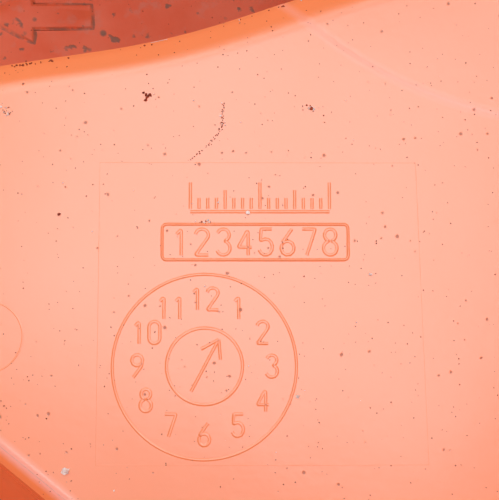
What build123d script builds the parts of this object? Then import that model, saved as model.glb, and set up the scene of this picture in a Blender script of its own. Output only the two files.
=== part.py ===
"""Shallow drainage inspection chamber base, moulded in one piece for 110 mm pipes and a 315 mm riser.

The flow runs along -X, from the inlet at +X to the outlet at -X. Two side inlets join it at 45 degrees.
The origin is at the middle of the base ring's underside, straight below the middle of the chamber.
"""

from build123d import *
import math
import os

os.makedirs("parts", exist_ok=True)

# Pipes and their sockets
pipe_radius = 55.0
channel_radius = 51.8
socket_clearance = 0.25
socket_depth = 58.0
socket_wall = 4.0
mouth_lead = 2.0
mouth_chamfer = 1.2
shoulder_length = 5.0

# Seal grooves of the pipe sockets
groove_depth = 6.0
groove_width = 12.0
groove_from_mouth = 9.0
seal_clearance = 0.3

# Chamber
chamber_wall = 4.5
channel_axis_height = 70.0
benching_rise = 26.7
benching_wall_rise = 51.0
benching_thickness = 4.5
rim_lip = 2.0
pipe_stop_setback = 8.0
portal_length = 26.0

# Side inlets
branch_angle = 45.0
branch_axis_rise = 50.0
branch_offset = 70.0
branch_reach = 34.0

# Socket for the riser
ledge_height = 184.0
riser_radius = 157.5
riser_clearance = 0.5
ledge_width = 8.0
riser_socket_depth = 70.0
riser_lead = 3.0
riser_groove_depth = 6.5
riser_groove_width = 14.0
riser_groove_from_mouth = 10.0

# Base ring, underside ribs and outside ribs
base_ring_width = 9.0
base_ring_thickness = 4.0
rib_thickness = 3.0
rib_spacing = 50.0
underside_rib_count = 5
outer_rib_count = 16
outer_rib_depth = 7.0
hoop_height = 88.0
gusset_thickness = 4.0
gusset_width = 15.0

# Worked out from the values above
socket_radius = pipe_radius + socket_clearance
groove_radius = socket_radius + groove_depth
groove_start = socket_depth - groove_from_mouth - groove_width
run_outside_radius = channel_radius + socket_wall
socket_outside_radius = socket_radius + socket_wall
bulge_radius = groove_radius + socket_wall
bulge_start = groove_start - socket_wall
branch_axis_height = channel_axis_height + branch_axis_rise
benching_height = channel_axis_height + benching_rise
riser_bore_radius = riser_radius + riser_clearance
chamber_radius = riser_bore_radius - ledge_width
benching_gradient = (benching_wall_rise - benching_rise) / chamber_radius
chamber_outside_radius = chamber_radius + chamber_wall
pipe_stop_distance = chamber_radius + pipe_stop_setback
riser_groove_radius = riser_bore_radius + riser_groove_depth
riser_bulge_radius = riser_groove_radius + chamber_wall
rim_height = ledge_height + riser_socket_depth
riser_groove_top = rim_height - riser_groove_from_mouth
riser_groove_bottom = riser_groove_top - riser_groove_width
cut_margin = 2.0
fold_overlap = 45.0
far = chamber_radius + cut_margin


def pipe_plane(heading, offset, height):
    """A plane through a pipe's axis, starting at the pipe stop: x runs out of the socket and y runs up."""
    along = Vector(math.cos(math.radians(heading)), math.sin(math.radians(heading)), 0)
    across = Vector(along.Y, -along.X, 0)
    centre = along * pipe_stop_distance + across * offset + Vector(0, 0, height)
    return Plane(origin=centre, x_dir=along, z_dir=across)


inlet = pipe_plane(0, 0, channel_axis_height)
outlet = pipe_plane(180, 0, channel_axis_height)
right_branch = pipe_plane(-branch_angle, branch_offset, branch_axis_height)
left_branch = pipe_plane(branch_angle, -branch_offset, branch_axis_height)

main_run_reach = pipe_stop_distance
branch_run_reach = pipe_stop_distance + branch_reach
pipe_runs = [
    (inlet, main_run_reach),
    (outlet, main_run_reach),
    (right_branch, branch_run_reach),
    (left_branch, branch_run_reach),
]


def half_section(plane, points):
    """A closed profile of (distance along the axis, radius) points, ready to be turned."""
    with BuildSketch(plane) as section:
        with BuildLine():
            Polyline(*points, close=True)
        make_face()
    return section.sketch


def pipe_axis(plane):
    """The axis of the pipe whose plane is given."""
    return Axis(plane.origin, plane.x_dir)


def benching_line(depth, x):
    """Height at x of a surface that lies the given depth below the benching."""
    return benching_height + abs(x) * benching_gradient - depth


def is_rim(edge):
    """Whether an edge of the benching is the rim of a channel, and not the foot of the chamber wall."""
    middle = edge.position_at(0.5)
    return edge.geom_type != GeomType.LINE and math.hypot(middle.X, middle.Y) < chamber_radius - cut_margin


def half_chamber(direction):
    """The chamber above one slope of the benching, with its channels: direction is 1 at +X and -1 at -X."""
    slope = Plane(origin=(0, 0, benching_height), z_dir=(-direction * benching_gradient, 0, 1))
    with BuildPart() as half:
        Cylinder(chamber_radius, ledge_height + cut_margin, align=(Align.CENTER, Align.CENTER, Align.MIN))
        split(bisect_by=slope, keep=Keep.TOP)
        # Channels, each side channel with a rounded inner end that leads into the main one
        for run_plane, reach in pipe_runs:
            channel_points = [(-reach, 0), (-reach, channel_radius), (0, channel_radius), (0, 0)]
            revolve(half_section(run_plane, channel_points), axis=pipe_axis(run_plane))
        for run_plane, reach in pipe_runs[2:]:
            with Locations(run_plane.origin - run_plane.x_dir * reach):
                Sphere(channel_radius)
        outward = Keep.TOP if direction > 0 else Keep.BOTTOM
        split(bisect_by=Plane.YZ.offset(-direction * fold_overlap), keep=outward)
        # Sloping lips along the rims of the channels, run on past the fold and then cut at it
        stretches = half.faces().filter_by(GeomType.PLANE).filter_by(lambda f: slope.contains(f.center()))
        chamfer(stretches.edges().filter_by(is_rim), rim_lip)
        split(bisect_by=Plane.YZ, keep=outward)
    return half.part


# The chamber above both slopes of the benching, with its channels
with BuildPart() as chamber_space:
    add(half_chamber(1))
    add(half_chamber(-1))
    # The pipe's own wall stands proud of the benching where it comes through the chamber wall
    for direction in (1, -1):
        with Locations(Plane.YZ.offset(direction * (chamber_radius - portal_length / 2))):
            with Locations((0, channel_axis_height)):
                Cylinder(run_outside_radius, portal_length + 2 * cut_margin, mode=Mode.SUBTRACT)

# The whole space inside: chamber, channels, socket bores and grooves, and the riser's bore
with BuildPart() as interior:
    add(chamber_space.part)
    for run_plane, reach in pipe_runs:
        bore_points = [
            (-reach, 0),
            (-reach, channel_radius),
            (0, channel_radius),
            (0, socket_radius),
            (groove_start, socket_radius),
            (groove_start, groove_radius),
            (groove_start + groove_width, groove_radius),
            (groove_start + groove_width, socket_radius),
            (socket_depth - mouth_lead, socket_radius),
            (socket_depth, socket_radius + mouth_lead),
            (socket_depth + cut_margin, socket_radius + mouth_lead),
            (socket_depth + cut_margin, 0),
        ]
        revolve(half_section(run_plane, bore_points), axis=pipe_axis(run_plane))
    with BuildSketch(Plane.XZ):
        with BuildLine():
            Polyline(
                (0, ledge_height),
                (riser_bore_radius, ledge_height),
                (riser_bore_radius, riser_groove_bottom),
                (riser_groove_radius, riser_groove_bottom),
                (riser_groove_radius, riser_groove_top),
                (riser_bore_radius, riser_groove_top),
                (riser_bore_radius, rim_height - riser_lead),
                (riser_bore_radius + riser_lead / 2, rim_height),
                (riser_bore_radius + riser_lead / 2, rim_height + cut_margin),
                (0, rim_height + cut_margin),
                close=True,
            )
        make_face()
    revolve(axis=Axis.Z)

# The benching slab, as a shallow V that drains towards the middle
with BuildPart() as benching:
    with BuildSketch(Plane.XZ):
        with BuildLine():
            Polyline(
                (-far, benching_line(0, far)),
                (0, benching_height),
                (far, benching_line(0, far)),
                (far, benching_line(benching_thickness, far)),
                (0, benching_height - benching_thickness),
                (-far, benching_line(benching_thickness, far)),
                close=True,
            )
        make_face()
    extrude(amount=far, both=True)
    with Locations((0, 0, ledge_height / 2)):
        Cylinder(chamber_radius + chamber_wall / 2, ledge_height, mode=Mode.INTERSECT)

# Rib grid under the benching, cut to the chamber's round, its top inside the slab
with BuildPart() as underside_ribs:
    with BuildSketch():
        with GridLocations(rib_spacing, 0, underside_rib_count, 1):
            Rectangle(rib_thickness, 2 * chamber_radius)
        with GridLocations(0, rib_spacing, 1, underside_rib_count):
            Rectangle(2 * chamber_radius, rib_thickness)
        Circle(chamber_radius + chamber_wall / 2, mode=Mode.INTERSECT)
    extrude(amount=benching_line(0, chamber_radius))

with BuildPart() as chamber_base:
    # Chamber wall with its base ring, pipe-stop ledge and riser socket
    with BuildSketch(Plane.XZ):
        with BuildLine():
            Polyline(
                (chamber_radius, 0),
                (chamber_outside_radius + base_ring_width, 0),
                (chamber_outside_radius + base_ring_width, base_ring_thickness),
                (chamber_outside_radius, base_ring_thickness),
                (chamber_outside_radius, ledge_height - 2 * chamber_wall),
                (riser_bore_radius + chamber_wall, ledge_height - chamber_wall),
                (riser_bore_radius + chamber_wall, riser_groove_bottom - 2 * chamber_wall),
                (riser_bulge_radius, riser_groove_bottom - chamber_wall),
                (riser_bulge_radius, rim_height - mouth_chamfer),
                (riser_bulge_radius - mouth_chamfer, rim_height),
                (riser_bore_radius, rim_height),
                (riser_bore_radius, ledge_height),
                (chamber_radius, ledge_height),
                close=True,
            )
        make_face()
    revolve(axis=Axis.Z)
    add(benching.part)
    add(underside_ribs.part)

    # Outside ribs and the hoop that ties them
    with BuildSketch():
        with PolarLocations(chamber_outside_radius + outer_rib_depth / 2 - chamber_wall / 4, outer_rib_count):
            Rectangle(outer_rib_depth + chamber_wall / 2, rib_thickness)
    extrude(amount=ledge_height - chamber_wall)
    with BuildSketch(Plane.XY.offset(hoop_height)):
        Circle(chamber_outside_radius + outer_rib_depth)
        Circle(chamber_radius + chamber_wall / 2, mode=Mode.SUBTRACT)
    extrude(amount=rib_thickness)

    # Pipe runs with their sockets
    for run_plane, reach in pipe_runs:
        outside_points = [
            (-reach, 0),
            (-reach, run_outside_radius),
            (-shoulder_length, run_outside_radius),
            (0, socket_outside_radius),
            (bulge_start - socket_wall, socket_outside_radius),
            (bulge_start, bulge_radius),
            (socket_depth - mouth_chamfer, bulge_radius),
            (socket_depth, bulge_radius - mouth_chamfer),
            (socket_depth, 0),
        ]
        revolve(half_section(run_plane, outside_points), axis=pipe_axis(run_plane))
    for run_plane, reach in pipe_runs[2:]:
        with Locations(run_plane.origin - run_plane.x_dir * reach):
            Sphere(run_outside_radius)

    # Gussets from the base ring to the raised side inlets
    gusset_drop = branch_axis_height - base_ring_thickness / 2
    for run_plane, reach in pipe_runs[2:]:
        with BuildSketch(run_plane):
            with BuildLine():
                Polyline(
                    (-gusset_width, -gusset_drop),
                    (0, -gusset_drop),
                    (bulge_start, -socket_outside_radius),
                    (bulge_start, -socket_radius - socket_wall / 2),
                    (-gusset_width, -channel_radius - socket_wall / 2),
                    close=True,
                )
            make_face()
        extrude(amount=gusset_thickness / 2, both=True)

    add(interior.part, mode=Mode.SUBTRACT)

chamber_base.part.label = "chamber_base"
export_step(chamber_base.part, "parts/chamber_base.step")


def seal_profile(groove_near, groove_far, bore, groove):
    """Rounded rubber section that fills a groove and stays outside the bore."""
    return [
        (groove_near + seal_clearance, groove - seal_clearance),
        (groove_far - seal_clearance, groove - seal_clearance),
        (groove_far - seal_clearance, bore + groove_depth / 3),
        ((groove_near + groove_far) / 2 + groove_depth / 4, bore + seal_clearance),
        ((groove_near + groove_far) / 2 - groove_depth / 4, bore + seal_clearance),
        (groove_near + seal_clearance, bore + groove_depth / 3),
    ]


socket_seal_profile = seal_profile(groove_start, groove_start + groove_width, socket_radius, groove_radius)

with BuildPart() as inlet_seal:
    revolve(half_section(inlet, socket_seal_profile), axis=pipe_axis(inlet))
inlet_seal.part.label = "inlet_seal"
export_step(inlet_seal.part, "parts/inlet_seal.step")

with BuildPart() as outlet_seal:
    revolve(half_section(outlet, socket_seal_profile), axis=pipe_axis(outlet))
outlet_seal.part.label = "outlet_seal"
export_step(outlet_seal.part, "parts/outlet_seal.step")

with BuildPart() as right_branch_seal:
    revolve(half_section(right_branch, socket_seal_profile), axis=pipe_axis(right_branch))
right_branch_seal.part.label = "right_branch_seal"
export_step(right_branch_seal.part, "parts/right_branch_seal.step")

with BuildPart() as left_branch_seal:
    revolve(half_section(left_branch, socket_seal_profile), axis=pipe_axis(left_branch))
left_branch_seal.part.label = "left_branch_seal"
export_step(left_branch_seal.part, "parts/left_branch_seal.step")

with BuildPart() as riser_seal:
    revolve(
        half_section(
            Plane(origin=(0, 0, 0), x_dir=(0, 0, 1), z_dir=(0, 1, 0)),
            seal_profile(riser_groove_bottom, riser_groove_top, riser_bore_radius, riser_groove_radius),
        ),
        axis=Axis.Z,
    )
riser_seal.part.label = "riser_seal"
export_step(riser_seal.part, "parts/riser_seal.step")
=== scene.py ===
"""Finish of a moulded drainage chamber base: glossy terracotta plastic with fine relief, dirt and rubber seals.

Sizes are in millimetres until a mesh is made. The flow runs along -X in the main channel.
"""

import math
from contextlib import contextmanager
import bmesh
import bpy
import numpy as np
from mathutils import Matrix, Vector
from mathutils.geometry import delaunay_2d_cdt


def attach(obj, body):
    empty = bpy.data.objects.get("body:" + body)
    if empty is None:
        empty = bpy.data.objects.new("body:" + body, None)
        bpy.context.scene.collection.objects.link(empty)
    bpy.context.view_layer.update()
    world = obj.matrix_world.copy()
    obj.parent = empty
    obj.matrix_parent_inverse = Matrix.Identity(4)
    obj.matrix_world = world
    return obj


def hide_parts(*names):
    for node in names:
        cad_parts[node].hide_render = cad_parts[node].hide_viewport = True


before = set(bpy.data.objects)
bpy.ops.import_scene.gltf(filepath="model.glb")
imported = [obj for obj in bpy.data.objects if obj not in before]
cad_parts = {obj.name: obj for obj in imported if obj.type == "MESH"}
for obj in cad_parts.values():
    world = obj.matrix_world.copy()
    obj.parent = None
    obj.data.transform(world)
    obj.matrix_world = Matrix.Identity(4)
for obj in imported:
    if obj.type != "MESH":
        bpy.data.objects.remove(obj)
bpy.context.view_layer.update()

MM = 0.001
scene = bpy.context.scene

# Sizes of the moulding, in millimetres
channel_radius = 51.8
channel_axis_height = 70.0
channel_wall = 4.0
benching_rise = 26.7
benching_wall_rise = 51.0
chamber_radius = 150.0
ledge_height = 184.0
pipe_stop = 158.0
portal_start = 124.0
branch_axis_height = 120.0
branch_offset = 70.0
branch_inner_end = -34.0
gradient = (benching_wall_rise - benching_rise) / chamber_radius
benching_height = channel_axis_height + benching_rise
lift = Matrix.Translation((0, 0, channel_axis_height))
diagonal = math.sqrt(0.5)

# Edges and roundings of the moulding
lip_depth = 1.4
lip_width = 4.2
lip_slope_end = 2.0
lip_slope_depth = 0.43
lip_overcut = 1.2
lip_roundness = 2.1
side_lip_depth = 0.95
side_lip_width = 2.3
coving_radius = 6.0
fold_rounding = 2.0
rim_swell_centre = 76.0
rim_swell_length = 15.5
rim_swell = 0.95
rim_draw_in = 0.6
dish_centre = 128.0
dish_radius = 50.2
dish_depth = 0.035
dish_edges = [0.5, 1.4]
dish_edge_turns = [45.0, 75.0]
arris_wear = 0.14
arris_wear_width = 0.55
collar_rounding = 1.2
sharp_angle = 28.0
mark_sharp_angle = 60

# Fineness of the meshes, and margins that keep the faces of two solids from lying on each other
fine_start, fine_end = 40.0, 112.0
side_fine_start, side_fine_end, side_rim_end = 70.0, 125.0, 175.0
rim_step, fine_rim_step = 2.5, 0.6
wall_step, fine_wall_step = 4.0, 1.5
rim_rounds = 12
rim_rows = [-1.2, 0.0, 0.3, 0.6, 1.2]
fold_rows = (-6.0, -3.0, -1.5, 0.0, 1.5, 3.0, 6.0)
block_size = 2000
closest_points = 0.12
wall_clearance = 0.05
plug_cover = 2.0
plug_setback = 1.0
core_radius = chamber_radius + wall_clearance


def benching_plane(x):
    """Height of the benching at x, without its lips."""
    return benching_height + gradient * np.abs(x)


def channel_change(x):
    """How much wider than its nominal radius the main channel's rim is at x."""
    return rim_swell * np.exp(-(((np.abs(x) - rim_swell_centre) / rim_swell_length) ** 2)) - rim_draw_in


def rim_rise(x):
    """Height of the main channel's sharp rim above its axis at x."""
    return benching_rise - lip_depth + gradient * np.abs(x)


def main_rim(x):
    """Distance of the main channel's sharp rim from its axis, in plan."""
    radius = channel_radius + channel_change(x)
    return np.sqrt(np.maximum(radius ** 2 - rim_rise(x) ** 2, 0.0))


def side_axis_point(side, along):
    """A point of a side channel's axis in plan; side is -1 or 1 for the sign of y."""
    return np.array([diagonal * (along - branch_offset), side * diagonal * (along + branch_offset)])


def side_rim_point(start, way):
    """The point of a side channel's rim in plan that lies in a direction from a point of its axis."""
    reach = channel_radius
    for _ in range(rim_rounds):
        x = start[0] + way[0] * reach
        drop = branch_axis_height - (float(benching_plane(x)) - side_lip_depth)
        reach = math.sqrt(max(channel_radius ** 2 - drop ** 2, 0.0))
    return start + way * reach


def stations(*stretches):
    """Places in a row from stretches, each with its start, end and step."""
    return np.concatenate([np.arange(*stretch) for stretch in stretches])


def rim_curves():
    """The sharp rim of each channel in plan, as its side, points, and lip's depth and width.

    The main channel has side 0, and only its rim at +Y is given, because the other is its mirror image.
    """
    x = stations((-chamber_radius, fine_start, rim_step), (fine_start, fine_end, fine_rim_step),
                 (fine_end, chamber_radius + 1, rim_step))
    curves = [(0, np.stack([x, main_rim(x)], 1), lip_depth, lip_width)]
    beside = stations((branch_inner_end, side_fine_start, rim_step), (side_fine_start, side_fine_end, fine_rim_step),
                      (side_fine_end, side_rim_end, rim_step))
    turns = np.linspace(math.pi / 2, -math.pi / 2, 41)[1:-1]
    for side in (-1, 1):
        ahead, across = np.array([diagonal, side * diagonal]), np.array([diagonal, -side * diagonal])
        inner_end = side_axis_point(side, branch_inner_end)
        near = [side_rim_point(side_axis_point(side, along), across) for along in beside[::-1]]
        end = [side_rim_point(inner_end, across * math.sin(turn) - ahead * math.cos(turn)) for turn in turns]
        far = [side_rim_point(side_axis_point(side, along), -across) for along in beside]
        curves.append((side, np.array(near + end + far), side_lip_depth, side_lip_width))
    return curves


rims = rim_curves()


def distance_to_curve(points, curve):
    """Distance in plan of each point from a rim, worked out in blocks to save memory."""
    start, step = curve[:-1], curve[1:] - curve[:-1]
    span = (step ** 2).sum(1)
    best = np.empty(len(points))
    for first in range(0, len(points), block_size):
        gap = points[first:first + block_size, None, :] - start[None]
        share = np.clip((gap * step[None]).sum(2) / span[None], 0, 1)
        near = gap - share[:, :, None] * step[None]
        best[first:first + block_size] = np.sqrt((near ** 2).sum(2)).min(1)
    return best


def side_place(points, side):
    """Where points lie in plan by a side channel: along its axis, beside it, and past its inner end."""
    x, y = points[:, 0], side * points[:, 1]
    along = diagonal * (x + y)
    return along, diagonal * (x - y) + branch_offset, np.minimum(along - branch_inner_end, 0.0)


def in_main_channel(points):
    """Whether points in plan lie between the main channel's rims."""
    return np.abs(points[:, 1]) < main_rim(points[:, 0])


def in_side_channel(points, side):
    """Whether points in plan lie between a side channel's rims."""
    _, across, past_end = side_place(points, side)
    drop = branch_axis_height - (benching_plane(points[:, 0]) - side_lip_depth)
    return np.hypot(across, past_end) < np.sqrt(np.maximum(channel_radius ** 2 - drop ** 2, 0.0))


def lip_drop(distance, depth, width):
    """How far the benching falls beside a rim: a flat slope at the rim that rounds into the benching."""
    scale, knee = depth / lip_depth, lip_slope_end * width / lip_width
    slope = ((lip_depth - lip_slope_depth) * scale - arris_wear) / knee
    worn = arris_wear * np.clip(1 - distance / arris_wear_width, 0, 1) ** 2
    straight = depth - arris_wear - slope * distance + worn
    rounded = lip_slope_depth * scale * np.clip((width - distance) / (width - knee), 0, 1) ** lip_roundness
    return np.minimum(np.where(distance < knee, straight, rounded), depth + lip_overcut)


def from_dish_centre(points):
    """Each point's way in plan from the middle of the dish on its side of the chamber."""
    return points - np.stack([np.sign(points[:, 0]) * dish_centre, np.zeros(len(points))], 1)


def dish_drop(points):
    """Depth of the shallow round dishes in front of the main channel's two portals."""
    way = from_dish_centre(points)
    turn = np.arctan2(np.abs(way[:, 1]), dish_centre - np.abs(points[:, 0]))
    edge = np.interp(np.degrees(turn), dish_edge_turns, dish_edges)
    share = np.clip(0.5 - (np.hypot(way[:, 0], way[:, 1]) - dish_radius) / edge, 0, 1)
    return dish_depth * share * share * (3 - 2 * share)


def floor_height(points):
    """Height of the benching at points in plan, with its fold, its dishes, its lips and the coving at the wall."""
    height = benching_height + gradient * np.sqrt(points[:, 0] ** 2 + fold_rounding ** 2) - dish_drop(points)
    drop = np.zeros(len(points))
    mirrored = np.stack([points[:, 0], np.abs(points[:, 1])], 1)
    for side, curve, depth, width in rims:
        distance = distance_to_curve(points if side else mirrored, curve)
        inside = in_side_channel(points, side) if side else in_main_channel(points)
        drop = np.maximum(drop, lip_drop(np.where(inside, -distance, distance), depth, width))
    past = np.clip(np.hypot(points[:, 0], points[:, 1]) - (core_radius - coving_radius), 0, coving_radius)
    return height - drop + coving_radius - np.sqrt(coving_radius ** 2 - past ** 2)


def left_of(along):
    """Unit vectors in plan, each a quarter turn to the left of one given."""
    along = along / np.linalg.norm(along, axis=1)[:, None]
    return np.stack([-along[:, 1], along[:, 0]], 1)


def circle(radius, step):
    """Points in plan round the chamber's axis, a step in degrees apart."""
    turns = np.radians(np.arange(0.0, 360.0, step))
    return np.stack([radius * np.cos(turns), radius * np.sin(turns)], 1)


def floor_points():
    """Points in plan that carry the benching's shape: rows beside each rim, round each dish and round the wall."""
    groups = []
    for side, curve, depth, width in rims:
        knee = lip_slope_end * width / lip_width
        beside = np.concatenate([rim_rows, np.linspace(knee, width, 9), [width + 0.4, width + 1.6]])
        across = left_of(np.gradient(curve, axis=0))
        for offsets in (beside, -beside):
            rows = np.concatenate([curve + across * offset for offset in offsets])
            groups += [rows] if side else [rows, rows * (1, -1)]
    turns = np.radians(np.arange(-80.0, 80.1, 0.8))
    for direction in (-1, 1):
        for radius in dish_radius + np.concatenate([np.linspace(-0.9, 0.9, 15), [-1.6, 1.6]]):
            groups.append(np.stack([direction * (dish_centre - radius * np.cos(turns)), radius * np.sin(turns)], 1))
    fold = np.arange(-chamber_radius, chamber_radius, 6.0)
    groups += [np.stack([np.full(len(fold), x), fold], 1) for x in fold_rows]
    points = np.concatenate(groups)
    _, first = np.unique(np.round(points / closest_points).astype(int), axis=0, return_index=True)
    points = points[np.sort(first)]
    inner = points[np.hypot(points[:, 0], points[:, 1]) < chamber_radius - coving_radius - 0.3]
    rises = np.radians(np.arange(0.0, 90.1, 15.0))
    return np.concatenate([inner] + [circle(core_radius - coving_radius * (1 - math.sin(rise)), 1.5) for rise in rises])


# Solids

def new_object(name, data):
    """An object in the scene with its mesh, lamp or camera."""
    made = bpy.data.objects.new(name, data)
    scene.collection.objects.link(made)
    return made


def mesh_object(name, points, faces=(), edges=()):
    """An object from points in millimetres, in the frame's metres."""
    mesh = bpy.data.meshes.new(name)
    mesh.from_pydata([tuple(point) for point in np.asarray(points, float) * MM], edges, faces)
    mesh.validate()
    return new_object(name, mesh)


@contextmanager
def edited(mesh):
    """Lends a mesh for editing, and puts it back."""
    shape = bmesh.new()
    shape.from_mesh(mesh)
    yield shape
    shape.to_mesh(mesh)
    shape.free()


def face_outwards(item):
    """Turns every face of a closed mesh outwards."""
    with edited(item.data) as shape:
        bmesh.ops.remove_doubles(shape, verts=shape.verts, dist=1e-7)
        bmesh.ops.recalc_face_normals(shape, faces=shape.faces)
    return item


def apply_modifiers(item):
    """Keeps what an object's modifiers make as its plain mesh, and removes them."""
    made = bpy.data.meshes.new_from_object(item.evaluated_get(bpy.context.evaluated_depsgraph_get()))
    item.modifiers.clear()
    old, item.data = item.data, made
    bpy.data.meshes.remove(old)
    return item


def ring_pairs(count):
    """Each number below a count with the one after it, round in a ring."""
    return [(k, (k + 1) % count) for k in range(count)]


def chamber_core():
    """The space above the benching as a closed solid."""
    found, _, faces, _, _, _ = delaunay_2d_cdt([Vector(point) for point in floor_points()], [], [], 0, 1e-6)
    plan = np.array([tuple(point) for point in found])
    border = np.where(np.hypot(plan[:, 0], plan[:, 1]) > core_radius - 0.01)[0]
    border = border[np.argsort(np.arctan2(plan[border, 1], plan[border, 0]))]
    top = np.column_stack([plan[border], np.full(len(border), ledge_height + channel_wall)])
    count = len(plan)
    faces = [tuple(face) for face in faces]
    faces += [(int(border[k]), int(border[n]), count + n, count + k) for k, n in ring_pairs(len(border))]
    faces.append(tuple(range(count, count + len(border))))
    points = np.concatenate([np.column_stack([plan, floor_height(plan)]), top])
    return face_outwards(mesh_object("chamber_core", points, faces))


def tube(name, centre_line, radii, segments, change=None):
    """A closed tube along +X from places on it and radii; change gives the extra radius at angles and x."""
    turns = np.linspace(0, 2 * math.pi, segments, endpoint=False)
    points = []
    for x, radius in zip(centre_line, radii):
        here = radius + (change(turns, x) if change else 0.0)
        points.append(np.stack([np.full(segments, x), here * np.cos(turns), here * np.sin(turns)], 1))
    last = (len(points) - 1) * segments
    faces = [(row + k, row + n, row + segments + n, row + segments + k)
             for row in range(0, last, segments) for k, n in ring_pairs(segments)]
    faces += [tuple(range(segments)), tuple(range(last, last + segments))]
    return face_outwards(mesh_object(name, np.concatenate(points), faces))


def place(item, matrix):
    """Moves an object's mesh by a matrix whose shift is in millimetres."""
    shift = Matrix.Translation(matrix.translation * MM)
    item.data.transform(shift @ matrix.to_3x3().to_4x4())
    return item


def rim_change(turns, x):
    """Extra radius of the main channel's wall below its rims, at angles from the horizontal."""
    share = np.clip(np.sin(turns) * channel_radius / min(rim_rise(x), channel_radius), 0, 1)
    return channel_change(x) * share ** 2 * (3 - 2 * share)


def side_matrix(side):
    """Turns a tube along +X onto a side channel's axis."""
    foot = side_axis_point(side, 0.0)
    turn = Matrix.Rotation(side * math.radians(45.0), 4, "Z")
    return Matrix.Translation((foot[0], foot[1], branch_axis_height)) @ turn


def side_channel_solids(name, radius, end):
    """The side channels as closed tubes with round inner ends."""
    turns = np.radians(np.arange(88.0, -0.1, -4.0))
    line = np.concatenate([branch_inner_end - radius * np.sin(turns), [40.0, 80.0, 120.0, end]])
    radii = np.concatenate([radius * np.cos(turns), [radius] * 4])
    return [place(tube(name, line, radii, 144), side_matrix(side)) for side in (-1, 1)]


def combine(target, tools, operation):
    """Joins tools to a solid or cuts them from it, and removes them."""
    for tool in tools:
        change = target.modifiers.new("combine", "BOOLEAN")
        change.operation, change.solver, change.object = operation, "MANIFOLD", tool
        apply_modifiers(target)
        bpy.data.objects.remove(tool)
    return target


def interior_core():
    """Everything that is hollow inside the chamber, with all its fine edges."""
    core = chamber_core()
    reach, outside, eased = pipe_stop + channel_wall, channel_radius + channel_wall, collar_rounding * 0.3
    line = [portal_start, portal_start, portal_start + eased, portal_start + collar_rounding, reach]
    radii = [0.01, outside - collar_rounding, outside - eased, outside, outside]
    combine(core, [place(tube("collar", line, radii, 180), lift @ Matrix.Rotation(direction, 4, "Z"))
                   for direction in (0, math.pi)], "DIFFERENCE")
    x = stations((-156.0, fine_start, wall_step), (fine_start, fine_end, fine_wall_step), (fine_end, 157.0, wall_step))
    x = np.concatenate([[-reach], x, [reach]])
    main = place(tube("main", x, [channel_radius] * len(x), 160, rim_change), lift)
    return combine(core, [main] + side_channel_solids("side", channel_radius, reach), "UNION")


def interior_plug():
    """A solid that fills the plain interior of the moulding, so that the fine one can be cut into it."""
    ring = circle(chamber_radius + plug_cover, 3.0)
    count = len(ring)
    faces = []
    for direction in (1, -1):
        half = [k for k in range(count) if direction * ring[k, 0] > -1e-6]
        faces.append(tuple(sorted(half, key=lambda k: math.atan2(ring[k, 1], direction * ring[k, 0]))))
    faces.append(tuple(range(count, 2 * count)))
    faces += [(k, n, count + n, count + k) for k, n in ring_pairs(count)]
    plug = face_outwards(mesh_object("plug", np.concatenate([
        np.column_stack([ring, benching_plane(ring[:, 0]) - plug_cover]),
        np.column_stack([ring, np.full(count, ledge_height - plug_setback)]),
    ]), faces))
    wide, end = channel_radius + plug_cover, pipe_stop - plug_setback
    main = place(tube("main_plug", [-end, end], [wide, wide], 96), lift)
    return combine(plug, [main] + side_channel_solids("side_plug", wide, end), "UNION")


def smooth_between_edges(item):
    """Shades a piece smoothly between its edges, with its large faces kept flat or evenly round."""
    if "custom_normal" in item.data.attributes:
        item.data.attributes.remove(item.data.attributes["custom_normal"])
    with edited(item.data) as shape:
        bmesh.ops.remove_doubles(shape, verts=shape.verts, dist=2e-6)
        bmesh.ops.dissolve_degenerate(shape, edges=shape.edges, dist=2e-6)
        for face in shape.faces:
            face.smooth = True
        for edge in shape.edges:
            edge.smooth = edge.calc_face_angle(0.0) < math.radians(sharp_angle)
    weigh = item.modifiers.new("weigh", "WEIGHTED_NORMAL")
    weigh.mode = "FACE_AREA"
    weigh.weight = 50
    weigh.keep_sharp = True
    return apply_modifiers(item)


def chamber_moulding():
    """The one-piece moulding: the frame's own, with the fine interior cut into it."""
    moulding = new_object("chamber_moulding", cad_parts["chamber_base"].data.copy())
    with edited(moulding.data) as shape:
        bmesh.ops.remove_doubles(shape, verts=shape.verts, dist=1e-6)
    combine(moulding, [interior_plug()], "UNION")
    combine(moulding, [interior_core()], "DIFFERENCE")
    return smooth_between_edges(moulding)


# Node trees: a maker of nodes, then the effects that materials share

socket_kinds = {
    "Place": "Vector", "Colour": "Color", "Geometry": "Geometry", "Material": "Material",
    "Seed": "Int", "Facets": "Int",
}


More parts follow.
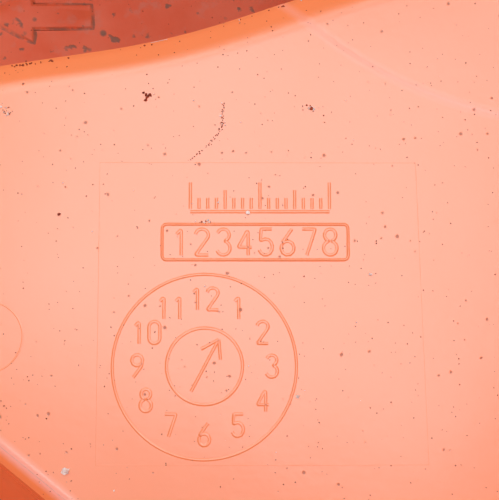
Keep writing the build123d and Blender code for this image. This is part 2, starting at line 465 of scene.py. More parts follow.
class Nodes:
    """Makes the nodes of a tree. What feeds a socket is another socket, a number, a vector or a colour."""

    def __init__(self, tree):
        self.tree = tree

    def feed(self, sockets, feeds):
        """Links or sets sockets by name or number."""
        for key, value in feeds.items():
            if isinstance(value, bpy.types.NodeSocket):
                self.tree.links.new(value, sockets[key])
            else:
                sockets[key].default_value = (*value, 1) if sockets[key].type == "RGBA" else value

    def add(self, kind, feeds=None, **settings):
        """The outputs of a new node with its settings and feeds."""
        made = self.tree.nodes.new(kind)
        for name, value in settings.items():
            setattr(made, name, value)
        self.feed(made.inputs, feeds or {})
        return made.outputs

    def maths(self, operation, first, second, clamp=False):
        return self.add("ShaderNodeMath", {0: first, 1: second}, operation=operation, use_clamp=clamp)[0]

    def times(self, first, second):
        return self.maths("MULTIPLY", first, second)

    def plus(self, first, second):
        return self.maths("ADD", first, second)

    def vector(self, operation, feeds):
        return self.add("ShaderNodeVectorMath", feeds, operation=operation)[0]

    def soft_step(self, value, low, high):
        """Turns a value between two limits into a soft mask from 0 to 1."""
        feeds = {"Value": value, "From Min": low, "From Max": high}
        return self.add("ShaderNodeMapRange", feeds, interpolation_type="SMOOTHSTEP")["Result"]

    def mix(self, share, first, second):
        """Mixes two colours by a share."""
        return self.add("ShaderNodeMix", {0: share, 6: first, 7: second}, data_type="RGBA")[2]

    def noise(self, place_at, scale, detail=3.0, rough=0.55):
        """The value of a noise pattern at a place."""
        feeds = {"Vector": place_at, "Scale": scale, "Detail": detail, "Roughness": rough}
        return self.add("ShaderNodeTexNoise", feeds)["Fac"]

    def effect(self, group, place_at, **values):
        """What a shared effect gives at a place, with its own values."""
        return self.add("ShaderNodeGroup", {"Place": place_at, **values}, node_tree=group)

    def bump(self, height, depth, strength=1.0):
        """The normal of a surface whose height is a value times a depth in metres."""
        return self.add("ShaderNodeBump", {"Height": height, "Distance": depth, "Strength": strength})["Normal"]

    def shade(self, feeds):
        """Feeds the material's shader."""
        self.feed(self.tree.nodes["Principled BSDF"].inputs, feeds)


def node_group(name, kind, inputs, outputs):
    """A group with sockets by name: the maker of its nodes, what it takes and what it gives."""
    tree = bpy.data.node_groups.new(name, kind)
    for way, labels in (("INPUT", inputs), ("OUTPUT", outputs)):
        for label in labels:
            socket = "NodeSocket" + socket_kinds.get(label, "Float")
            tree.interface.new_socket(label, in_out=way, socket_type=socket)
    nodes = Nodes(tree)
    return nodes, nodes.add("NodeGroupInput"), tree.nodes.new("NodeGroupOutput").inputs


def speck_group():
    """Sparse specks: one may lie in each cell of a cell pattern, bent by noise so that none is a clean disc."""
    nodes, given, result = node_group("specks", "ShaderNodeTree", ("Place", "Cells", "Size", "Rarity"), ("Mask",))
    bend = nodes.add("ShaderNodeTexNoise", {"Vector": given["Place"], "Scale": 2600.0})["Color"]
    bent = nodes.vector("MULTIPLY_ADD", {0: bend, 1: (0.00022,) * 3, 2: given["Place"]})
    cells = nodes.add("ShaderNodeTexVoronoi", {"Vector": bent, "Scale": given["Cells"]})
    chances = nodes.add("ShaderNodeSeparateColor", {0: cells["Color"]})
    there = nodes.maths("GREATER_THAN", chances[0], given["Rarity"])
    size = nodes.times(given["Size"], nodes.plus(nodes.maths("POWER", chances[1], 2.5), 0.35))
    outside = nodes.soft_step(cells["Distance"], nodes.times(size, 0.45), size)
    nodes.feed(result, {"Mask": nodes.times(there, nodes.maths("SUBTRACT", 1.0, outside))})
    return nodes.tree


def film_group():
    """A mask of faces looking up, broken by noise: dust on top of things and the bloom of weather; on the plastic it
    also paints a pale sheen where level faces reflect the sky.
    """
    nodes, given, result = node_group(
        "film", "ShaderNodeTree", ("Place", "Patches", "Steepest", "Flattest"), ("Mask",))
    upward = nodes.add("ShaderNodeSeparateXYZ", {0: nodes.add("ShaderNodeNewGeometry")["Normal"]})["Z"]
    level = nodes.soft_step(upward, given["Steepest"], given["Flattest"])
    patches = nodes.soft_step(nodes.noise(given["Place"], given["Patches"], 4.0, 0.5), 0.2, 0.75)
    nodes.feed(result, {"Mask": nodes.times(level, nodes.plus(nodes.times(patches, 0.45), 0.55))})
    return nodes.tree


def silt_group():
    """Dried silt and stains of a used channel with painted shade: a dark red-brown cover that thickens with depth, part
    silt and part painted shade, dark spots and pale crusts.
    """
    nodes, given, result = node_group(
        "silt_and_shade", "ShaderNodeTree", ("Place", "Depth", "Colour"), ("Colour", "Mask", "Height"))
    place_at, depth = given["Place"], given["Depth"]
    broad = nodes.soft_step(nodes.noise(place_at, 55.0, 5.0, 0.6), 0.3, 0.7)
    # The dark cover paints the channels' shade as well as their silt
    silt_and_shade_cover = nodes.maths("MULTIPLY", depth, nodes.plus(nodes.times(broad, 0.22), 0.78), clamp=True)
    spots = nodes.soft_step(nodes.noise(place_at, 330.0, 3.0, 0.5), 0.62, 0.7)
    spots = nodes.times(spots, nodes.times(depth, 0.75))
    crust = nodes.soft_step(nodes.noise(place_at, 210.0, 3.0, 0.6), 0.54, 0.72)
    crust = nodes.times(crust, nodes.times(depth, 0.4))
    colour = given["Colour"]
    for share, shade in ((silt_and_shade_cover, silt_and_shade_brown), (spots, silt_grey), (crust, silt_crust)):
        colour = nodes.mix(share, colour, shade)
    nodes.feed(result, {"Colour": colour, "Mask": silt_and_shade_cover, "Height": nodes.plus(spots, crust)})
    return nodes.tree


def grain_group():
    """Fine unevenness of a moulded surface: slow ripples under a fine orange peel."""
    nodes, given, result = node_group("moulded_grain", "ShaderNodeTree", ("Place", "Peel", "Ripple"), ("Height",))
    peel, ripple = [nodes.noise(given["Place"], given[label], 2.0, 0.5) for label in ("Peel", "Ripple")]
    nodes.feed(result, {"Height": nodes.plus(nodes.times(peel, 0.12), ripple)})
    return nodes.tree


# Materials

terracotta = (0.95, 0.3, 0.11)
terracotta_deep = (0.82, 0.22, 0.07)
# Pale of the level faces: part dust bloom, part a painted sheen of sky reflection
bloom_and_sheen_pale = (0.93, 0.61, 0.57)
# Pale of a painted highlight on rounded rims and dish edges
highlight_pale = (0.98, 0.54, 0.49)
speck_dark = (0.2, 0.045, 0.02)
# Dark red-brown that deepens into the channels: part silt, part painted shade
silt_and_shade_brown = (0.77, 0.115, 0.025)
silt_grey = (0.085, 0.095, 0.06)
silt_crust = (0.62, 0.27, 0.19)
rubber_black = (0.012, 0.012, 0.013)
rubber_bloom = (0.075, 0.07, 0.065)
rubber_dust = (0.2, 0.18, 0.15)
bloom_and_sheen_strength = 0.15
highlight_strength = 0.7
speck_strength = 0.85
gloss_roughness = 0.24

specks = speck_group()
film = film_group()
silt_and_shade = silt_group()
grain = grain_group()


def new_material(name):
    """A material, the maker of its nodes, and the place of each point on it."""
    made = bpy.data.materials.new(name)
    made.use_nodes = True
    nodes = Nodes(made.node_tree)
    return made, nodes, nodes.add("ShaderNodeTexCoord")["Object"]


def pvc_material():
    """Glossy terracotta plastic with bloom and a painted sky sheen on its level faces, painted highlights on rounded
    edges, specks, and silt with painted shade where its channels run.
    """
    made, nodes, place_at = new_material("terracotta_pvc")
    depth, highlight, line = [nodes.add("ShaderNodeAttribute", attribute_name=name)["Fac"]
                           for name in ("channel_depth", "painted_highlight", "dirt_and_shadow_line")]
    tone = nodes.soft_step(nodes.noise(place_at, 28.0, 4.0), 0.25, 0.8)
    colour = nodes.mix(nodes.times(tone, 0.16), terracotta, terracotta_deep)
    # Level faces made paler: part dust bloom, part a painted sheen of sky reflection
    bloom = nodes.effect(film, place_at, Patches=45.0, Steepest=0.955, Flattest=0.992)["Mask"]
    colour = nodes.mix(nodes.times(bloom, bloom_and_sheen_strength), colour, bloom_and_sheen_pale)
    # Painted highlight on the side channels' rounded rims and on the dishes' edges
    colour = nodes.mix(nodes.times(highlight, highlight_strength), colour, highlight_pale)
    # Silt that deepens with the channels' depth and also paints their shade
    stained_and_shaded = nodes.effect(silt_and_shade, place_at, Depth=depth, Colour=colour)
    blots = nodes.effect(specks, place_at, Cells=290.0, Size=0.24, Rarity=0.45)["Mask"]
    blots = nodes.times(blots, nodes.times(depth, 0.8))
    # Dark line at the arrows' foot: part dirt, part a painted shadow of the raised arrow
    ragged = nodes.soft_step(nodes.noise(place_at, 260.0, 4.0, 0.6), 0.36, 0.56)
    dirt_and_shadow_lined = nodes.times(ragged, nodes.times(line, 0.65))
    colour = nodes.mix(nodes.maths("MAXIMUM", blots, dirt_and_shadow_lined), stained_and_shaded["Colour"], silt_grey)
    fine = nodes.effect(specks, place_at, Cells=700.0, Size=0.14, Rarity=0.1)["Mask"]
    large = nodes.effect(specks, place_at, Cells=150.0, Size=0.024, Rarity=0.4)["Mask"]
    both = nodes.maths("MAXIMUM", nodes.times(fine, 0.75), large)
    rough = nodes.plus(nodes.times(stained_and_shaded["Mask"], 0.5), gloss_roughness)
    uneven = nodes.effect(grain, place_at, Peel=1100.0, Ripple=55.0)["Height"]
    height = nodes.plus(nodes.plus(uneven, nodes.times(both, -0.5)), nodes.times(stained_and_shaded["Height"], 0.8))
    nodes.shade({
        "Base Color": nodes.mix(nodes.times(both, speck_strength), colour, speck_dark),
        "Roughness": nodes.plus(rough, nodes.times(both, 0.3)),
        "IOR": 1.58, "Specular IOR Level": 0.9, "Normal": nodes.bump(height, 0.00012, 0.8),
    })
    return made


def rubber_material():
    """Black moulded rubber with a grey bloom and dust."""
    made, nodes, place_at = new_material("seal_rubber")
    bloom = nodes.effect(film, place_at, Patches=120.0, Steepest=-0.2, Flattest=0.9)["Mask"]
    dots = nodes.effect(specks, place_at, Cells=260.0, Size=0.08, Rarity=0.8)["Mask"]
    uneven = nodes.effect(grain, place_at, Peel=1800.0, Ripple=300.0)["Height"]
    colour = nodes.mix(nodes.times(bloom, 0.35), rubber_black, rubber_bloom)
    nodes.shade({
        "Base Color": nodes.mix(nodes.times(dots, 0.5), colour, rubber_dust),
        "Roughness": nodes.plus(nodes.times(bloom, 0.25), 0.42), "Normal": nodes.bump(uneven, 0.0001, 0.7),
    })
    return made


def grit_material(name, light, dark, roughness):
    """Mineral grains, lighter and darker in patches."""
    made, nodes, place_at = new_material(name)
    tone = nodes.soft_step(nodes.noise(place_at, 2400.0), 0.35, 0.65)
    nodes.shade({
        "Base Color": nodes.mix(tone, light, dark), "Roughness": nodes.plus(nodes.times(tone, 0.3), roughness),
        "Normal": nodes.bump(nodes.noise(place_at, 5000.0, 2.0), 0.00008),
    })
    return made


def floor_material():
    """A plain pale floor."""
    made, nodes, place_at = new_material("pale_floor")
    tone = nodes.soft_step(nodes.noise(place_at, 9.0), 0.3, 0.7)
    nodes.shade({"Base Color": nodes.mix(tone, (0.8, 0.79, 0.77), (0.77, 0.76, 0.745)), "Roughness": 0.7})
    return made


pvc = pvc_material()
rubber = rubber_material()
pale_grit = grit_material("pale_grit", (0.93, 0.92, 0.89), (0.7, 0.68, 0.65), 0.25)
dark_grit = grit_material("dark_grit", (0.36, 0.06, 0.02), (0.13, 0.025, 0.01), 0.65)
# Material of the duller lines in the painted highlight and of the painted glint
painted_line_and_glint = grit_material("painted_line_and_glint", (0.8, 0.42, 0.34), (0.62, 0.38, 0.33), 0.4)


# Raised marks on the benching and grains: trees that make them, then their places

def geometry_group(name, inputs):
    """A geometry group with named inputs, and what hands out its shape in the material given."""
    nodes, given, result = node_group(name, "GeometryNodeTree", ("Geometry", *inputs, "Material"), ("Geometry",))

    def hand_out(shape):
        dressed = nodes.add("GeometryNodeSetMaterial", {"Geometry": shape, "Material": given["Material"]})
        nodes.feed(result, {"Geometry": dressed[0]})
        return nodes.tree

    return nodes, given, hand_out


def raised_line_tree():
    """Turns edges in a plane into flat-topped raised lines with steep sides."""
    nodes, given, hand_out = geometry_group("raised_line", ("Foot Width", "Top Width", "Height", "Corner"))
    curve = nodes.add("GeometryNodeMeshToCurve", {"Mesh": given["Geometry"]})[0]
    curve = nodes.add("GeometryNodeFilletCurve", {
        "Curve": curve, "Count": 3, "Radius": given["Corner"], "Limit Radius": True}, mode="POLY")[0]
    curve = nodes.add("GeometryNodeSetCurveNormal", {"Curve": curve}, mode="Z_UP")[0]
    profile = nodes.add("GeometryNodeCurvePrimitiveQuadrilateral", {
        "Top Width": given["Foot Width"], "Bottom Width": given["Top Width"], "Height": given["Height"], "Offset": 0.0,
    }, mode="TRAPEZOID")[0]
    sweep = nodes.add("GeometryNodeCurveToMesh", {"Curve": curve, "Profile Curve": profile, "Fill Caps": True})[0]
    return hand_out(nodes.add("GeometryNodeRealizeInstances", {"Geometry": sweep})[0])


def grain_tree():
    """Puts an uneven little grain on each point, turned and sized at random."""
    nodes, given, hand_out = geometry_group("grains", ("Radius", "Smallest", "Largest", "Seed", "Facets"))
    points = nodes.add("GeometryNodeMeshToPoints", {"Mesh": given["Geometry"]})[0]
    pebble = nodes.add("GeometryNodeMeshIcoSphere", {"Radius": given["Radius"], "Subdivisions": given["Facets"]})[0]
    smallest, largest = [nodes.add("ShaderNodeCombineXYZ", {axis: given[label] for axis in range(3)})[0]
                         for label in ("Smallest", "Largest")]
    turn, size = [nodes.add("FunctionNodeRandomValue", {**limits, "Seed": given["Seed"]}, data_type="FLOAT_VECTOR")[0]
                  for limits in ({1: (6.28,) * 3}, {0: smallest, 1: largest})]
    stamped = nodes.add("GeometryNodeInstanceOnPoints", {
        "Points": points, "Instance": pebble, "Rotation": turn, "Scale": size})[0]
    real = nodes.add("GeometryNodeRealizeInstances", {"Geometry": stamped})[0]
    wobble = nodes.vector("SUBTRACT", {0: nodes.add("ShaderNodeTexNoise", {"Scale": 4200.0})["Color"], 1: (0.5,) * 3})
    shift = nodes.vector("SCALE", {0: wobble, "Scale": nodes.times(given["Radius"], 1.9)})
    return hand_out(nodes.add("GeometryNodeSetPosition", {"Geometry": real, "Offset": shift})[0])


raised_line = raised_line_tree()
grains = grain_tree()


def made_by_tree(item, tree, values):
    """Runs a node tree on an object with values by name, and keeps the result as a plain mesh."""
    change = item.modifiers.new("make", "NODES")
    change.node_group = tree
    for socket in tree.interface.items_tree:
        if socket.in_out == "INPUT" and socket.name in values:
            change[socket.identifier] = values[socket.name]
    return apply_modifiers(item)


def line_object(name, lines):
    """An object of edges from lines of points, flat where they have no height; one that ends at its start is a loop."""
    points, edges = [], []
    for line in lines:
        line = [(*point, 0.0)[:3] for point in line]
        loop = len(line) > 2 and math.dist(line[0], line[-1]) < 1e-6
        first, line = len(points), line[:-1] if loop else line
        points += line
        edges += [(first + k, first + k + 1) for k in range(len(line) - 1)]
        if loop:
            edges.append((first + len(line) - 1, first))
    return mesh_object(name, points, edges=edges)


def on_slope(x, y, turn=0.0):
    """A frame on the benching's slope at a point in plan, turned about the slope's own upright."""
    upright = Vector((-math.copysign(gradient, x), 0.0, 1.0)).normalized()
    across = Vector((0, 1, 0)).cross(upright).normalized()
    frame_of = Matrix((across, upright.cross(across), upright)).transposed().to_4x4()
    height = float(benching_plane(x))
    return Matrix.Translation((x, y, height)) @ frame_of @ Matrix.Rotation(math.radians(turn), 4, "Z")


def raised_lines(name, lines, where, foot, top, height, corner=0.0, material=pvc):
    """Raised lines in the plane of a frame, sunk a little so that no gap shows under them."""
    item = made_by_tree(line_object(name, lines), raised_line, {
        "Foot Width": foot * MM, "Top Width": top * MM, "Height": (height + line_sink) * MM,
        "Corner": corner * MM, "Material": material,
    })
    place(item, where @ Matrix.Translation((0, 0, (height - line_sink) / 2)))
    return face_outwards(item)


def joined(name, items):
    """One object from several, their meshes put together in the material of the first."""
    mesh = bpy.data.meshes.new(name)
    with edited(mesh) as whole:
        for item in items:
            whole.from_mesh(item.data)
    mesh.materials.append(items[0].data.materials[0])
    mesh.shade_smooth()
    mesh.set_sharp_from_angle(angle=math.radians(mark_sharp_angle))
    for item in items:
        bpy.data.objects.remove(item)
    return new_object(name, mesh)


def arc(centre, radius, start, end, steps=10):
    """Points of an arc; its angles are in degrees."""
    turns = np.radians(np.linspace(start, end, steps + 1))
    return [(centre[0] + radius[0] * math.cos(t), centre[1] + radius[1] * math.sin(t)) for t in turns]


def digit_strokes(digit):
    """The strokes of one digit in a cell one unit high and about half a unit wide."""
    upper, lower = (0.25, 0.77), (0.25, 0.27)
    return {
        "0": [arc((0.25, 0.75), (0.25, 0.25), 0, 180) + arc((0.25, 0.25), (0.25, 0.25), 180, 360) + [(0.5, 0.75)]],
        "1": [[(0.1, 0.8), (0.28, 1.0), (0.28, 0.0)]],
        "2": [arc(upper, (0.25, 0.23), 170, -35) + [(0.0, 0.0), (0.5, 0.0)]],
        "3": [arc(upper, (0.23, 0.23), 160, -90) + arc(lower, (0.26, 0.27), 90, -160)[1:]],
        "4": [[(0.38, 0.0), (0.38, 1.0), (0.0, 0.3), (0.52, 0.3)]],
        "5": [[(0.47, 1.0), (0.06, 1.0), (0.03, 0.53)] + arc((0.23, 0.31), (0.26, 0.31), 120, -160)],
        "6": [[(0.42, 1.0), (0.06, 0.5)] + arc(lower, (0.25, 0.27), 150, -210)],
        "7": [[(0.0, 1.0), (0.5, 1.0), (0.17, 0.0)]],
        "8": [arc(upper, (0.22, 0.23), -90, 270, 16) + arc(lower, (0.26, 0.27), 90, 450, 18)[1:-1] + [(0.25, 0.54)]],
        "9": [[(0.08, 0.0), (0.44, 0.5)] + arc(upper, (0.25, 0.25), -30, 330)],
    }[digit]


def number_lines(number, height, centre):
    """The strokes of a number, its middle at a point."""
    step = 0.72
    width = step * (len(number) - 1) + 0.5
    return [[(centre[0] + (x + k * step - width / 2) * height, centre[1] + (y - 0.5) * height) for x, y in stroke]
            for k, digit in enumerate(number) for stroke in digit_strokes(digit)]


def rounded_frame(left, foot, right, head, corner):
    """A rounded rectangle as a loop."""
    low, high = foot + corner, head - corner
    corners = ((right - corner, high), (left + corner, high), (left + corner, low), (right - corner, low))
    loop = []
    for quarter, centre in enumerate(corners):
        loop += arc(centre, (corner, corner), 90 * quarter, 90 * quarter + 90, 5)
    return loop + [loop[0]]


line_sink = 0.06
stroke_foot, stroke_top, stroke_rise = 0.52, 0.2, 0.085
panel_place = on_slope(74.2, -60.35, -4.0)
panel_edge = [(-7.2, 9.2), (29.2, 9.2), (30.1, -25.1), (-7.2, -25.1), (-7.2, 9.2)]
frame_width, frame_height = 21.3, 4.1
mark_height, mark_start, mark_step = 3.0, 2.1, 2.45
scale_left, scale_foot, scale_length, scale_steps = 3.2, 3.5, 16.0, 16
tick_start, long_tick, middle_tick, short_tick = 0.35, 3.4, 2.5, 1.6
dial_centre = (4.9, -14.1)
dial_radius = 10.4
dial_inner_radius = 4.3
hour_height = 2.5
pointer_turn, pointer_tip, pointer_barb, pointer_barb_width, pointer_tail = 62, 3.4, 1.5, 1.25, -3.2
ring_radius = 4.0
ring_places = [(x, side * y) for side in (-1, 1) for x, y in (
    (54.1, 69.75), (120.0, 66.0), (92.0, 102.0), (-118.0, 68.0), (-95.0, 98.0), (26.0, 49.0),
)]


def panel_lines():
    """Plain numbers and scales: a row of numbers, a scale of ticks over it and a dial of 1 to 12 with a pointer."""
    lines = []
    for k in range(8):
        lines += number_lines(str(k + 1), mark_height, (mark_start + k * mark_step, 0.0))
    lines.append([(scale_left, scale_foot), (scale_left + scale_length, scale_foot)])
    for k in range(scale_steps + 1):
        x = scale_left + scale_length * k / scale_steps
        reach = long_tick if k % 8 == 0 else middle_tick if k % 4 == 0 else short_tick
        lines.append([(x, scale_foot + tick_start), (x, scale_foot + reach)])
    x, y = dial_centre
    for hour in range(1, 13):
        turn = math.radians(90 - 30 * hour)
        reach = (dial_radius + dial_inner_radius) / 2 + 0.25
        lines += number_lines(str(hour), hour_height, (x + reach * math.cos(turn), y + reach * math.sin(turn)))
    lines.append(arc(dial_centre, (dial_inner_radius,) * 2, 0, 360, 48))
    way_x, way_y = math.cos(math.radians(pointer_turn)), math.sin(math.radians(pointer_turn))

    def on_pointer(reach, beside=0.0):
        return x + way_x * reach + -way_y * beside, y + way_y * reach + way_x * beside

    lines += [[on_pointer(pointer_tip), on_pointer(pointer_barb, side * pointer_barb_width)] for side in (-1, 1)]
    return lines + [[on_pointer(pointer_tip - 0.3), on_pointer(pointer_tail)]]


def benching_marks():
    """All raised marks of the benching as one piece."""
    items = [raised_lines("numbers", panel_lines(), panel_place, stroke_foot, stroke_top, stroke_rise, corner=0.1)]
    for name, line, foot, top, height in (
        ("outline", rounded_frame(0, -frame_height / 2, frame_width, frame_height / 2, 0.5), 0.46, 0.12, 0.16),
        ("dial", arc(dial_centre, (dial_radius,) * 2, 0, 360, 72), 0.5, 0.18, stroke_rise),
        ("insert", panel_edge, 0.22, 0.06, 0.012),
    ):
        items.append(raised_lines(name, [line], panel_place, foot, top, height))
    ring = arc((0, 0), (ring_radius,) * 2, 0, 360, 48)
    items += [raised_lines("ring", [ring], on_slope(x, y), 0.42, 0.1, 0.04) for x, y in ring_places]
    return joined("benching_marks", items)


arrow_tip, arrow_neck, arrow_tail = 47.3, 56.4, 69.0
arrow_half, arrow_barb = 2.35, 5.5
arrow_rise = 0.5
arrow_draft = 0.55
arrow_foot_rise = 0.06
apron_width = 0.7
apron_sink = 0.03
side_arrow_tip = 62.0
side_arrow_lowest = 62.0
arrow_bevel, arrow_bevel_angle = 0.25, 40


def flow_arrow(where, start):
    """A raised arrow on a channel's invert that points along the flow; start is its tip's place along the channel."""
    outer, middle = [4.4, 3.3, arrow_half], [1.2, 0.0, -1.2]
    across = [arrow_barb] + outer + middle + [-y for y in outer[::-1]] + [-arrow_barb]
    outline = [(arrow_tip + abs(y) * (arrow_neck - arrow_tip) / arrow_barb, y) for y in across[::-1]]
    outline += [(arrow_neck, y) for y in outer]
    outline += [(arrow_tail, y) for y in [arrow_half] + middle + [-arrow_half]]
    outline += [(arrow_neck, -y) for y in outer[::-1]]
    ring = np.array(outline) + (start - arrow_tip, 0.0)
    ahead, behind = np.roll(ring, -1, axis=0) - ring, ring - np.roll(ring, 1, axis=0)
    outward = left_of(ahead / np.linalg.norm(ahead, axis=1)[:, None] + behind / np.linalg.norm(behind, axis=1)[:, None])
    shape = bmesh.new()
    rows = []
    for spread, rise in ((0.0, arrow_rise), (arrow_draft, arrow_foot_rise), (arrow_draft + apron_width, -apron_sink)):
        radius = channel_radius - rise
        rows.append([shape.verts.new((x * MM, y * MM, -math.sqrt(radius ** 2 - y * y) * MM))
                     for x, y in ring + spread * outward])
    ends = [shape.faces.new(rows[0]), shape.faces.new(rows[-1])]
    for upper, lower in zip(rows, rows[1:]):
        for k, n in ring_pairs(len(ring)):
            shape.faces.new((upper[k], upper[n], lower[n], lower[k]))
    bmesh.ops.triangulate(shape, faces=ends)
    bmesh.ops.recalc_face_normals(shape, faces=shape.faces)
    mesh = bpy.data.meshes.new("arrow")
    shape.to_mesh(mesh)
    shape.free()
    mesh.materials.append(pvc)
    return place(new_object("arrow", mesh), where)


def flow_arrows():
    """The arrows of the channels as one piece: two in the main channel and one in each side channel."""
    places = [(lift, arrow_tip), (lift, -arrow_tail)] + [(side_matrix(side), side_arrow_tip) for side in (-1, 1)]
    made = joined("flow_arrows", [flow_arrow(where, start) for where, start in places])
    soften = made.modifiers.new("soften", "BEVEL")
    soften.width = arrow_bevel * MM
    soften.segments = 2
    soften.angle_limit = math.radians(arrow_bevel_angle)
    return apply_modifiers(made)


# Where the duller lines lie in the side rims' painted highlight band
rim_split_start, rim_split_end = 5.0, 75.0
rim_split_share = 0.64
glint_start, glint_end = 74.4, 76.4


def rim_dirt():
    """Thin duller lines that split the painted highlight band along the rounded rims of the side channels, and a
    painted glint on the main channel's rim.
    """
    items = []
    for side, curve, depth, width in rims[1:]:
        part = curve[(curve[:, 0] > rim_split_start) & (curve[:, 0] < rim_split_end)]
        for run in (part[:len(part) // 2], part[len(part) // 2:]):
            if len(run) < 3 or np.abs(np.diff(run, axis=0)).max() > 6:
                continue
            outward = left_of(np.gradient(run, axis=0))
            if in_side_channel(run + outward, side).mean() > 0.5:
                outward = -outward
            run = run + outward * (width * rim_split_share)
            # A thin duller line that splits the painted highlight band in two
            items.append(raised_lines("rim_split_line", [np.column_stack([run, floor_height(run)])], Matrix.Identity(4),
                                      0.13, 0.06, 0.012, material=painted_line_and_glint))
    # A painted glint along the main channel's sharp rim
    x = np.linspace(glint_start, glint_end, 9)
    glint = np.stack([x, -main_rim(x) - 0.12], 1)
    items.append(raised_lines("painted_glint", [np.column_stack([glint, floor_height(glint) + 0.02])], Matrix.Identity(4),
                              0.14, 0.06, 0.02, material=painted_line_and_glint))
    return joined("rim_dirt", items)


def grit(name, places, radius, material, seed, smallest, largest, facets=2):
    """Grains lying on the benching at places in plan; with facets at 1 each has only twenty faces."""
    plan = np.array(places, float)
    item = mesh_object(name, np.column_stack([plan, floor_height(plan) + radius * 0.35]))
    return made_by_tree(item, grains, {
        "Radius": radius * MM, "Smallest": smallest, "Largest": largest, "Seed": seed, "Facets": facets,
        "Material": material,
    })


def benching_places(count, seed):
    """Random places in plan on the benching, clear of its rims and its wall."""
    plan = np.random.default_rng(seed).uniform(-chamber_radius, chamber_radius, (count * 6, 2))
    clear = np.hypot(plan[:, 0], plan[:, 1]) < chamber_radius - coving_radius - 1
    clear &= ~(in_main_channel(plan) | in_side_channel(plan, -1) | in_side_channel(plan, 1))
    return plan[clear][:count]


def panel_point(across, down):
    """A place in plan from millimetres across and down the panel's own frame."""
    spot = panel_place @ Vector((across, -down, 0))
    return (spot.x, spot.y)


# Places across and down the panel's frame, in millimetres
pale_spots = ((23.8, 3.7), (15.4, 17.5), (9.8, -3.4))
dark_spots = ((-2.0, -17.2), (-1.8, -17.0), (-2.3, -17.4), (-1.95, -16.8), (-1.55, -17.15), (-2.05, -16.55),
              (17.2, -15.6), (-11.8, -3.2))
crystal_spot = (-10.6, 25.7)
scratch_runs = (((7.0, -16.3), (6.8, -13.4), 20), ((6.8, -13.2), (5.0, -11.0), 18), ((4.6, -10.7), (3.0, -9.4), 12))
scuff_spots = ((4.9, -2.3, 1.0, 0.3, 18), (17.1, -15.7, 1.1, 0.4, 16), (-18.0, -15.2, 0.7, 0.8, 16),
               (6.9, -13.9, 0.5, 0.7, 12))


def loose_grit():
    """The grains that lie on the benching: pale ones, dark ones in a cluster, and those in an old scratch."""
    scratch = []
    for start, end, count in scratch_runs:
        for share in np.linspace(0, 1, count):
            across = start[0] + (end[0] - start[0]) * share + 0.12 * math.sin(37 * share + start[0])
            down = start[1] + (end[1] - start[1]) * share + 0.08 * math.cos(23 * share)
            scratch.append(panel_point(across, down))
    chance = np.random.default_rng(12)
    worn = [(x, -main_rim(x) - 0.25 - 0.25 * chance.random()) for x in chance.uniform(58.2, 63.2, 26)]
    worn += [(x, -main_rim(x) - 0.2 - 0.3 * chance.random()) for x in chance.uniform(57.0, 92.0, 10)]
    scuffs = [panel_point(across + chance.normal() * wide * 0.5, down + chance.normal() * high * 0.5)
              for across, down, wide, high, count in scuff_spots for _ in range(count)]
    pale = [panel_point(*spot) for spot in pale_spots]
    cluster = [panel_point(*spot) for spot in dark_spots]
    return [
        grit("worn_rim", worn, 0.1, dark_grit, 11, 0.4, 1.4),
        grit("scuff_dirt", scuffs[1::2], 0.08, dark_grit, 14, 0.5, 1.3),
        grit("scuff_dust", scuffs[::2], 0.1, pale_grit, 15, 0.5, 1.4),
        grit("pale_grit", pale, 0.22, pale_grit, 5, 0.8, 1.2),
        grit("pale_crystal", [panel_point(*crystal_spot)], 0.42, pale_grit, 8, 0.8, 1.1),
        grit("pale_dust", benching_places(110, 21), 0.1, pale_grit, 2, 0.4, 1.3, facets=1),
        grit("dark_dust", benching_places(3600, 9), 0.058, dark_grit, 4, 0.35, 1.7, facets=1),
        grit("dark_flecks", cluster, 0.15, dark_grit, 6, 0.7, 1.5),
        grit("scratch_dirt", scratch, 0.07, dark_grit, 7, 0.4, 1.4),
    ]


# Numbers stored at each point of a piece, for its material

# Strength and reach of the painted highlight round the dishes' edges
dish_highlight, dish_highlight_reach = 0.45, 0.9
# Where the silt and painted shade in the channels start and how fast they deepen
main_silt_shade_top, main_silt_shade_depth = 92.0, 40.0
side_silt_shade_top, side_silt_shade_depth, side_silt_shade_share = 104.5, 18.0, 0.8
side_channel_top = 108.0


def rubbed_edges(points):
    """How much painted highlight the benching gets at each point: a pale band on the rounded rims of the side channels
    and on the dishes' edges.
    """
    level = np.abs(points[:, 2] - benching_plane(points[:, 0]) + 0.6) < 1.2
    plan = points[level, :2]
    way = from_dish_centre(plan)
    found = dish_highlight * np.clip(1.0 - np.abs(np.hypot(way[:, 0], way[:, 1]) - dish_radius) / dish_highlight_reach, 0, 1)
    for side, curve, depth, width in rims[1:]:
        distance = np.where(in_side_channel(plan, side), 0.0, distance_to_curve(plan, curve))
        start, end = (distance - 0.4 * width) / 0.25, (1.15 * width - distance) / (0.45 * width)
        found = np.maximum(found, np.clip(start, 0, 1) * np.clip(end, 0, 1))
    share = np.zeros(len(points))
    share[level] = found
    return share


def channel_depths(points):
    """How deep each point of the moulding lies in a channel, from 0 at the rims to 1 at the inverts."""
    height = points[:, 2]
    reach = np.hypot(points[:, 1], height - channel_axis_height)
    inside = (reach < channel_radius + 1.2) & (np.abs(points[:, 0]) < pipe_stop + 1)
    depth = np.where(inside, np.clip((main_silt_shade_top - height) / main_silt_shade_depth, 0, 1), 0.0)
    side_depth = side_silt_shade_share * np.clip((side_silt_shade_top - height) / side_silt_shade_depth, 0, 1)
    for side in (-1, 1):
        along, across, past_end = side_place(points, side)
        reach = np.sqrt(across ** 2 + past_end ** 2 + (height - branch_axis_height) ** 2)
        inside = (reach < channel_radius + 0.3) & (along < pipe_stop + 1) & (height < side_channel_top)
        depth = np.where(inside, np.maximum(depth, side_depth), depth)
    return depth


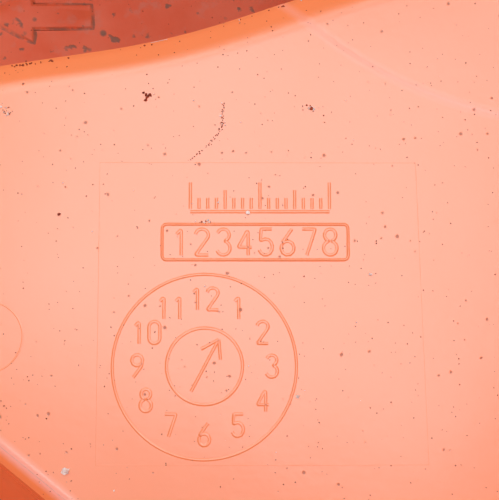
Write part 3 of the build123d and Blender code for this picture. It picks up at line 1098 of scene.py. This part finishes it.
def arrow_dirt(points):
    """How much dark grey-green lies against the foot of the arrows, most on one long side and at the tail: part dirt,
    part a painted shadow of the raised arrow.
    """
    reach = np.hypot(points[:, 1], points[:, 2] - channel_axis_height)
    beside, from_tail = points[:, 1], np.abs(np.abs(points[:, 0]) - arrow_tail)
    for side in (-1, 1):
        _, across, _ = side_place(points, side)
        here = (points[:, 2] > side_arrow_lowest) & (np.sign(points[:, 1]) == side)
        reach = np.where(here, np.hypot(across, points[:, 2] - branch_axis_height), reach)
        beside = np.where(here, across, beside)
    low = np.clip((reach - (channel_radius - arrow_rise)) / (arrow_rise * 0.6), 0, 1)
    return low * np.where((beside < -1.0) | (from_tail < 1.0), 1.0, 0.25)


def no_depth(points):
    """No depth at all, for the marks, which lie clear of the channels."""
    return np.zeros(len(points))


# The dressed part
moulding = chamber_moulding()
moulding.data.materials.clear()
moulding.data.materials.append(pvc)
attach(moulding, "root")
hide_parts("chamber_base")

marks = benching_marks()
arrows = flow_arrows()
for piece in [marks, arrows, rim_dirt()] + loose_grit():
    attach(piece, "root")

for piece, name, measure in (
    (moulding, "channel_depth", channel_depths), (arrows, "channel_depth", channel_depths),
    (marks, "channel_depth", no_depth), (moulding, "painted_highlight", rubbed_edges), (arrows, "dirt_and_shadow_line", arrow_dirt),
):
    places = np.empty(len(piece.data.vertices) * 3)
    piece.data.vertices.foreach_get("co", places)
    values = measure(places.reshape(-1, 3) / MM).astype(np.float32)
    piece.data.attributes.new(name, "FLOAT", "POINT").data.foreach_set("value", values)

for name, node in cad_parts.items():
    if name != "chamber_base":
        for place_of in node.material_slots:
            place_of.material = rubber

# Floor, lamps and camera
floor_half = 3000
floor_corners = [(x * floor_half, y * floor_half, 0) for x, y in ((-1, -1), (1, -1), (1, 1), (-1, 1))]
floor = mesh_object("floor", floor_corners, [(0, 1, 2, 3)])
floor.data.materials.append(floor_material())

world = bpy.data.worlds.new("studio")
scene.world = world
world.use_nodes = True
world.node_tree.nodes["Background"].inputs["Color"].default_value = (1, 1, 1, 1)
world.node_tree.nodes["Background"].inputs["Strength"].default_value = 0.4

view_x, view_y, lamp_height = 84, -62, 1150
lamp_spread = 1040
sky_white = (0.94, 0.98, 1.0)


def lamp(name, where, aim, size, power, spin=0.0, colour=(1, 1, 1)):
    """A soft lamp at a place in millimetres, aimed at another; size is its width and height, spin turns it."""
    light = bpy.data.lights.new(name, "AREA")
    light.shape = "RECTANGLE"
    light.size, light.size_y = size[0] * MM, size[1] * MM
    light.energy = power
    light.color = colour
    made = new_object(name, light)
    made.location = Vector(where) * MM
    turn = (Vector(where) - Vector(aim)).to_track_quat("Z", "Y").to_matrix().to_4x4()
    made.rotation_euler = (turn @ Matrix.Rotation(math.radians(spin), 4, "Z")).to_euler()


# Level lamps high over the benching, placed by the slopes at which they are seen from there
for name, across, along, size, power, spin, colour in (
    ("overhead", -0.135, 0.145, (760, 600), 3.8, -22.0, (0.93, 0.97, 1.0)),
    ("far_strip", -0.05, 0.72, (950, 340), 1.4, 0.0, sky_white),
    ("corner", 0.3, 0.48, (260, 260), 0.8, 0.0, sky_white),
    ("near_strip", -0.47, -0.5, (620, 290), 1.8, -45.0, sky_white),
):
    x, y = view_x + across * lamp_spread, view_y + along * lamp_spread
    lamp(name, (x, y, lamp_height), (x, y, 0), size, power, spin, colour)
lamp("key", (-700, 800, lamp_height), (60, -60, 100), (900, 900), 4.1)
lamp("side", (700, 850, lamp_height), (60, -60, 100), (900, 900), 3.1)

camera_place = (65.92, -71.16, 209.14)
camera_turn = (5.96, -9.96, -4.11)
camera_data = bpy.data.cameras.new("camera")
camera_data.lens = 63.5
camera_data.sensor_width = 36.0
camera_data.clip_start = 0.005
camera_data.clip_end = 50.0
camera = new_object("camera", camera_data)
camera.location = Vector(camera_place) * MM
camera.rotation_mode = "XYZ"
camera.rotation_euler = [math.radians(turn) for turn in camera_turn]
scene.camera = camera

scene.view_settings.view_transform = "Standard"
